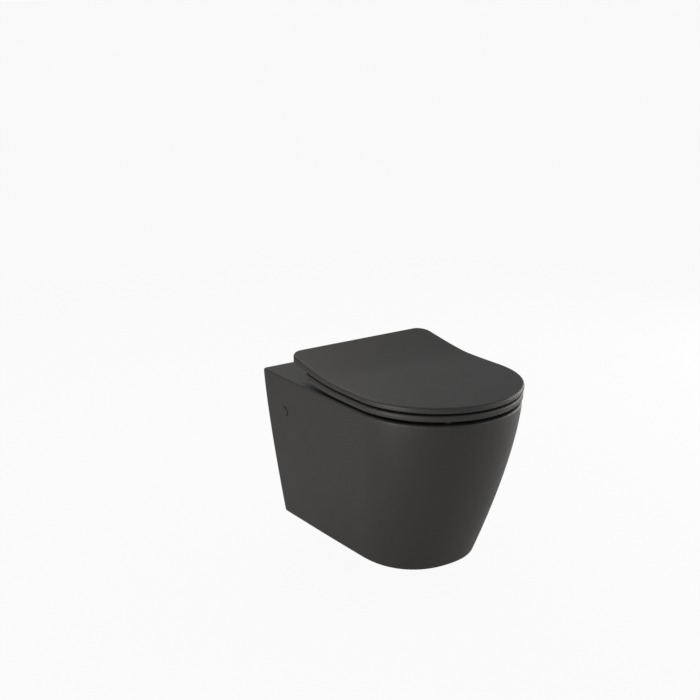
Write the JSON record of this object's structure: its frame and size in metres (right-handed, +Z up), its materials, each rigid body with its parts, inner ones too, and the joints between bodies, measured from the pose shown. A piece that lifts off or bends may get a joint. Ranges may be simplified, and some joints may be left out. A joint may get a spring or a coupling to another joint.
{
  "type": "wall-hung toilet",
  "caption": "Wall-hung toilet with a fully skirted matt black rimless pan, tapering to a smaller underside, and a slim soft-close seat and lid on quick-release hinges.",
  "frame": {"origin": "midway between the two wall studs, on the wall plane", "axes": "+Z up, +Y into the wall, the pan points to -Y, +X to the right of someone facing the wall"},
  "size_m": [0.363, 0.545, 0.4078],
  "materials": {
    "black_ceramic": "matt black glaze",
    "black_duroplast": "matt black urea moulding",
    "black_plastic": "matt moulded plastic",
    "grey_plastic": "moulded plastic",
    "grey_nylon": "glass-filled nylon",
    "grey_rubber": "soft rubber",
    "black_rubber": "rubber",
    "steel": "stainless steel"
  },
  "bodies": {
    "pan_unit": {"pan": "black_ceramic", "flow_divider": "grey_nylon", "wall_bracket_left": "grey_nylon", "wall_bracket_right": "grey_nylon", "clamp_screw_left": "steel", "clamp_screw_right": "steel", "screw_bush_left": "grey_nylon", "screw_bush_right": "grey_nylon", "side_cap_left": "black_plastic", "side_cap_right": "black_plastic", "hinge_post_left": "steel", "hinge_post_right": "steel", "post_plate_left": "steel", "post_plate_right": "steel", "post_sleeve_left": "black_rubber", "post_sleeve_right": "black_rubber", "post_nut_left": "steel", "post_nut_right": "steel"},
    "hinge_unit": {"hinge_block_left": "black_plastic", "hinge_block_right": "black_plastic", "lid_damper": "grey_nylon", "seat_damper": "grey_nylon"},
    "seat": {"seat_ring": "black_duroplast", "seat_buffers": "grey_rubber"},
    "lid": {"lid": "black_duroplast", "lid_buffers": "grey_rubber"},
    "button_left": {"release_button_left": "grey_plastic"},
    "button_right": {"release_button_right": "grey_plastic"}
  },
  "joints": [
    {"name": "seat_lift_off", "type": "slide", "parent": "pan_unit", "child": "hinge_unit", "axis": [0, 0, 1], "range_m": [0, 0.03]},
    {"name": "seat_hinge", "type": "hinge", "parent": "hinge_unit", "child": "seat", "pos_m": [0, -0.128, 0.111], "axis": [-1, 0, 0], "range_deg": [0, 92]},
    {"name": "lid_hinge", "type": "hinge", "parent": "seat", "child": "lid", "pos_m": [0, -0.128, 0.111], "axis": [1, 0, 0], "range_deg": [-96, 0]},
    {"name": "press_left", "type": "slide", "parent": "hinge_unit", "child": "button_left", "axis": [0, 1, 0], "range_m": [0, 0.002], "stiffness_N_per_m": 1500, "springref_m": -0.001},
    {"name": "press_right", "type": "slide", "parent": "hinge_unit", "child": "button_right", "axis": [0, 1, 0], "range_m": [0, 0.002], "stiffness_N_per_m": 1500, "springref_m": -0.001}
  ]
}
